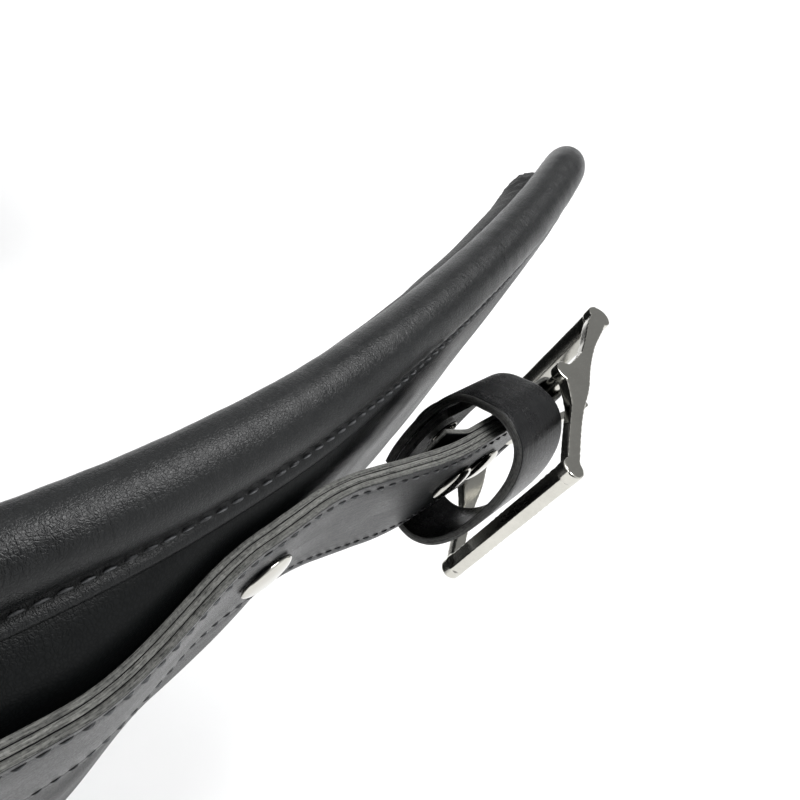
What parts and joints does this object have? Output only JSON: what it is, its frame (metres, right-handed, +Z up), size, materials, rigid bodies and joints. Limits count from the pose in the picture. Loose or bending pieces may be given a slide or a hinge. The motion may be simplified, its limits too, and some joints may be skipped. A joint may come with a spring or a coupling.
{
  "type": "trainer belly pad",
  "caption": "Padded leather belly shield that wraps a trainer's front and sides, with a rolled rim, a buckle strap with keeper loop and roller buckle, and a punched tail strap",
  "frame": {"origin": "centre of the footprint, on the floor under the lower rim roll", "axes": "+Z up, +Y toward the open back, +X toward the wing with the buckle, across the belly"},
  "size_m": [0.4468, 0.4188, 0.2665],
  "materials": {
    "cover_leather": "satin",
    "lining_leather": "satin",
    "strap_leather": "satin",
    "strap_core": "matt",
    "foam": "matt",
    "nickel": "polished"
  },
  "bodies": {
    "pad": {"front_cover": "cover_leather", "front_foam": "foam", "front_lining": "lining_leather", "right_wing_cover": "cover_leather", "right_wing_foam": "foam", "right_wing_lining": "lining_leather", "right_tab_outer": "strap_leather", "right_tab_middle": "strap_core", "right_tab_inner": "strap_leather", "right_tab_rivet_cap": "nickel", "right_tab_rivet_back": "nickel", "left_wing_cover": "cover_leather", "left_wing_foam": "foam", "left_wing_lining": "lining_leather", "left_tab_outer": "strap_leather", "left_tab_middle": "strap_core", "left_tab_inner": "strap_leather", "left_tab_rivet_cap": "nickel", "left_tab_rivet_back": "nickel", "rim_roll_cover": "cover_leather", "rim_roll_filler": "foam"},
    "buckle_strap": {"buckle_strap_outer": "strap_leather", "buckle_strap_middle": "strap_core", "buckle_strap_inner": "strap_leather", "fold_rivet_cap_1": "nickel", "fold_rivet_back_1": "nickel", "fold_rivet_cap_2": "nickel", "fold_rivet_back_2": "nickel"},
    "keeper": {"keeper_loop": "strap_leather", "keeper_rivet_cap": "nickel", "keeper_rivet_back": "nickel"},
    "buckle": {"buckle_frame": "nickel"},
    "roller": {"buckle_roller": "nickel"},
    "prong": {"buckle_prong": "nickel"},
    "tail_strap": {"tail_strap_outer": "strap_leather", "tail_strap_middle": "strap_core", "tail_strap_inner": "strap_leather"}
  },
  "joints": [
    {"name": "buckle_strap_flex", "type": "hinge", "parent": "pad", "child": "buckle_strap", "pos_m": [0.20399, 0.02714, 0.2305], "axis": [0, 0, -1], "range_deg": [0, 40]},
    {"name": "keeper_slide", "type": "slide", "parent": "buckle_strap", "child": "keeper", "axis": [-0.0867, 0.9879, -0.1289], "range_m": [-0.011, 0.001]},
    {"name": "buckle_swing", "type": "hinge", "parent": "buckle_strap", "child": "buckle", "pos_m": [0.19766, 0.10951, 0.21971], "axis": [-0.0133, 0.1282, 0.9917], "range_deg": [0, 25]},
    {"name": "roller_spin", "type": "hinge", "parent": "buckle", "child": "roller", "pos_m": [0.18438, 0.1448, 0.21497], "axis": [-0.0133, 0.1282, 0.9917], "continuous": true},
    {"name": "prong_swing", "type": "hinge", "parent": "buckle", "child": "prong", "pos_m": [0.19766, 0.10951, 0.21971], "axis": [0.0133, -0.1282, -0.9917], "range_deg": [-17, 95]},
    {"name": "tail_strap_flex", "type": "hinge", "parent": "pad", "child": "tail_strap", "pos_m": [-0.21121, 0.02714, 0.2305], "axis": [0, 0, 1], "range_deg": [0, 40]}
  ]
}
